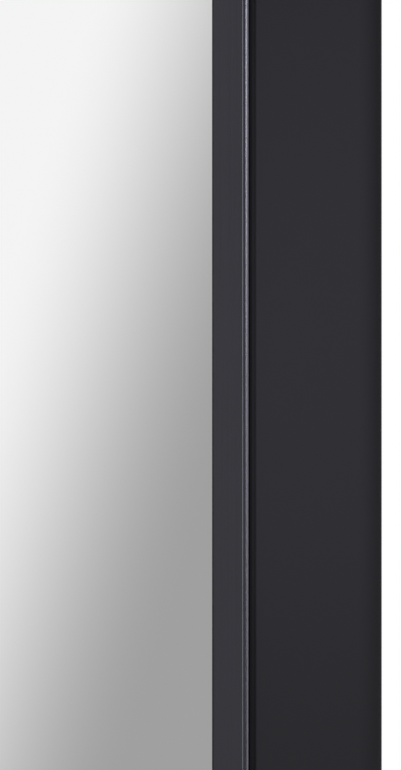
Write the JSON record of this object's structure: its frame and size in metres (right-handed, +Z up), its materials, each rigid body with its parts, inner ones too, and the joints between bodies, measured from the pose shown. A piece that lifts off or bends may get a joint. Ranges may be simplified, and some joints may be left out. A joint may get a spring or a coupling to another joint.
{
  "type": "pull out closet mirror",
  "caption": "Framed dressing mirror on ball-bearing slides, which pulls out of a wardrobe and swings on pins at its front edge to face the user.",
  "frame": {"origin": "on the plane of the wardrobe's side panel, at the middle of the wall holes", "axes": "+Z up, +Y into the wardrobe's side panel, -X out of the wardrobe, the way the mirror pulls out"},
  "size_m": [0.4118, 0.0497, 1.2106],
  "materials": {
    "frame": "black-blue anodised extrusion, satin",
    "cover": "powder-coated sheet steel, fine matt",
    "steel_black": "powder-coated steel",
    "slide_zinc": "zinc-plated cold-rolled steel",
    "ball_steel": "polished steel",
    "screw_steel": "black-zinc screws",
    "mirror": "silvered float glass",
    "gasket": "black glazing gasket",
    "rubber": "moulded black rubber",
    "plastic": "moulded nylon, lightly grained",
    "key_zinc": "zinc die casting",
    "core": "paper honeycomb core board",
    "back_board": "painted fibreboard",
    "magnet": "nickel-plated magnet"
  },
  "bodies": {
    "base": {"upper_mounting_arm": "steel_black", "lower_mounting_arm": "steel_black", "rear_upright": "steel_black", "rear_cover": "cover", "cover_screws": "screw_steel", "cover_top_cap": "plastic", "cover_bottom_cap": "plastic", "cover_brackets": "steel_black", "upper_slide_outer": "slide_zinc", "lower_slide_outer": "slide_zinc", "slide_stops": "rubber"},
    "carriage": {"upper_slide_inner": "slide_zinc", "lower_slide_inner": "slide_zinc", "upper_carriage_rail": "steel_black", "lower_carriage_rail": "steel_black", "carriage_post": "steel_black", "carriage_rear_bar": "steel_black", "rail_screws": "screw_steel", "magnet_cases": "plastic", "catch_magnets": "magnet", "leaf_bumpers": "rubber", "upper_pivot_arm": "steel_black", "lower_pivot_arm": "steel_black", "upper_pivot_bush": "plastic", "lower_pivot_bush": "plastic", "pivot_arm_screws": "screw_steel"},
    "leaf": {"left_stile": "frame", "right_stile": "frame", "top_rail": "frame", "bottom_rail": "frame", "corner_keys": "key_zinc", "upper_pivot_pin": "slide_zinc", "lower_pivot_pin": "slide_zinc", "glass_gasket": "gasket", "mirror_glass": "mirror", "core_board": "core", "back_panel": "back_board", "catch_strikes": "slide_zinc"},
    "upper_slide_middle_body": {"upper_slide_middle": "slide_zinc"},
    "upper_outer_retainer_body": {"upper_outer_retainer": "slide_zinc", "upper_outer_balls": "ball_steel"},
    "upper_inner_retainer_body": {"upper_inner_retainer": "slide_zinc", "upper_inner_balls": "ball_steel"},
    "lower_slide_middle_body": {"lower_slide_middle": "slide_zinc"},
    "lower_outer_retainer_body": {"lower_outer_retainer": "slide_zinc", "lower_outer_balls": "ball_steel"},
    "lower_inner_retainer_body": {"lower_inner_retainer": "slide_zinc", "lower_inner_balls": "ball_steel"}
  },
  "joints": [
    {"name": "pull_out", "type": "slide", "parent": "base", "child": "carriage", "axis": [-1, 0, 0], "range_m": [0, 0.35]},
    {"name": "leaf_swing", "type": "hinge", "parent": "carriage", "child": "leaf", "pos_m": [-0.1637, -0.03925, 0], "axis": [0, 0, -1], "range_deg": [0, 90]},
    {"name": "upper_slide_middle_slide", "type": "slide", "parent": "base", "child": "upper_slide_middle_body", "axis": [-1, 0, 0], "range_m": [0, 0.175]},
    {"name": "upper_outer_retainer_slide", "type": "slide", "parent": "base", "child": "upper_outer_retainer_body", "axis": [-1, 0, 0], "range_m": [0, 0.0875]},
    {"name": "upper_inner_retainer_slide", "type": "slide", "parent": "base", "child": "upper_inner_retainer_body", "axis": [-1, 0, 0], "range_m": [0, 0.2625]},
    {"name": "lower_slide_middle_slide", "type": "slide", "parent": "base", "child": "lower_slide_middle_body", "axis": [-1, 0, 0], "range_m": [0, 0.175]},
    {"name": "lower_outer_retainer_slide", "type": "slide", "parent": "base", "child": "lower_outer_retainer_body", "axis": [-1, 0, 0], "range_m": [0, 0.0875]},
    {"name": "lower_inner_retainer_slide", "type": "slide", "parent": "base", "child": "lower_inner_retainer_body", "axis": [-1, 0, 0], "range_m": [0, 0.2625]}
  ],
  "couplings": [
    {"joint": "upper_slide_middle_slide", "follows": "pull_out", "ratio": 0.5},
    {"joint": "upper_outer_retainer_slide", "follows": "pull_out", "ratio": 0.25},
    {"joint": "upper_inner_retainer_slide", "follows": "pull_out", "ratio": 0.75},
    {"joint": "lower_slide_middle_slide", "follows": "pull_out", "ratio": 0.5},
    {"joint": "lower_outer_retainer_slide", "follows": "pull_out", "ratio": 0.25},
    {"joint": "lower_inner_retainer_slide", "follows": "pull_out", "ratio": 0.75}
  ]
}
